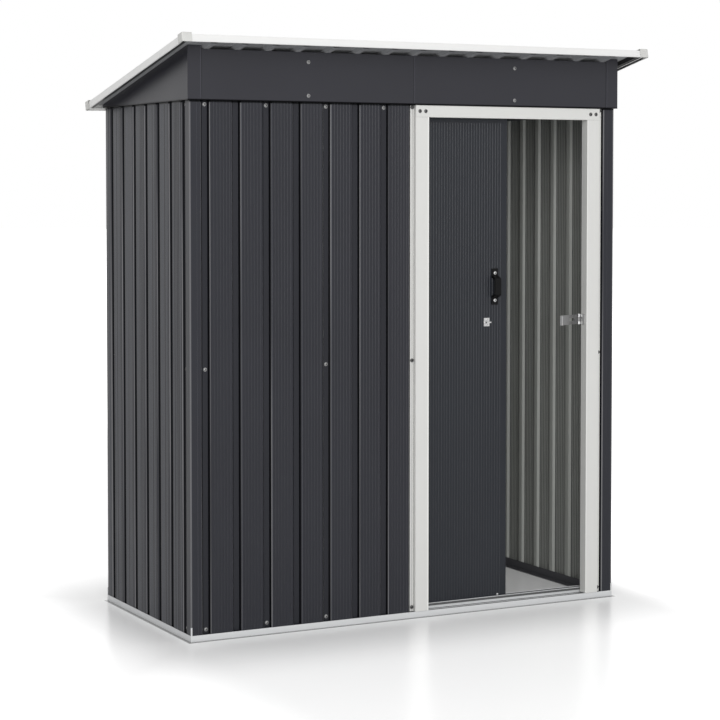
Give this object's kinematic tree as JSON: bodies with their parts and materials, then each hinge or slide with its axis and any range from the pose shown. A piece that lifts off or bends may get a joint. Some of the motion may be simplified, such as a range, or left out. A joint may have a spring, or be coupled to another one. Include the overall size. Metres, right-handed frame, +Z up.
{
  "type": "metal storage shed",
  "caption": "Pent-roofed storage shed in dark ribbed sheet metal with white edge trims, a pale base frame and one sliding door with pull handle and swinging hasp.",
  "frame": {"origin": "middle of the whole shed's box in plan, at ground level under the base rails", "axes": "+Z up, +X to the right along the front wall as seen from outside, +Y from the front wall to the back wall; the doorway is in the -Y face"},
  "size_m": [1.658, 0.8345, 1.8281],
  "materials": {
    "dark_sheet": "anthracite painted ribbed sheet, satin",
    "dark_flashing": "anthracite painted flat sheet, satin",
    "white_frame": "off-white painted steel, satin",
    "white_trim": "white painted steel edge, satin",
    "white_plastic": "white moulded plastic",
    "light_rail": "pale grey coated steel rail",
    "inner_rail": "dark grey coated steel",
    "door_sheet": "anthracite painted grooved sheet",
    "nylon_glide": "black nylon",
    "black_plastic": "black moulded plastic",
    "zinc_steel": "bright zinc plated steel"
  },
  "bodies": {
    "shed": {"back_panel_1": "dark_sheet", "back_panel_2": "dark_sheet", "back_panel_3": "dark_sheet", "back_panel_4": "dark_sheet", "base_rail_back": "light_rail", "base_rail_front": "light_rail", "base_rail_left": "light_rail", "base_rail_right": "light_rail", "bottom_track": "light_rail", "corner_back_left": "dark_sheet", "corner_back_right": "dark_sheet", "corner_front_left": "dark_sheet", "corner_front_right": "dark_sheet", "door_header": "white_frame", "door_jamb_left": "white_frame", "door_jamb_right": "white_frame", "fascia_left": "dark_flashing", "fascia_right": "dark_flashing", "front_panel_1": "dark_sheet", "front_panel_2": "dark_sheet", "gable_left": "dark_flashing", "gable_right": "dark_flashing", "hasp_hinge": "zinc_steel", "head_rails": "inner_rail", "roof_beam": "inner_rail", "roof_caps": "white_plastic", "roof_panel_1": "dark_sheet", "roof_panel_2": "dark_sheet", "roof_panel_3": "dark_sheet", "roof_panel_4": "dark_sheet", "roof_trim_back": "white_trim", "roof_trim_front": "white_trim", "roof_trim_left": "white_trim", "roof_trim_right": "white_trim", "side_panel_left": "dark_sheet", "side_panel_right": "dark_sheet", "sill_rails": "inner_rail", "top_track": "inner_rail"},
    "door": {"door_bottom_rail": "door_sheet", "door_guides": "nylon_glide", "door_handle": "black_plastic", "door_hangers": "nylon_glide", "door_leaf": "door_sheet", "door_staple": "zinc_steel", "door_stiles": "door_sheet", "door_top_rail": "door_sheet"},
    "hasp": {"hasp_strap": "zinc_steel"}
  },
  "joints": [
    {"name": "door_slide", "type": "slide", "parent": "shed", "child": "door", "axis": [1, 0, 0], "range_m": [-0.23, 0.309]},
    {"name": "hasp_hinge_pin", "type": "hinge", "parent": "shed", "child": "hasp", "pos_m": [0.6505, -0.2767, 0.935], "axis": [0, 0, 1], "range_deg": [-24, 66]}
  ]
}
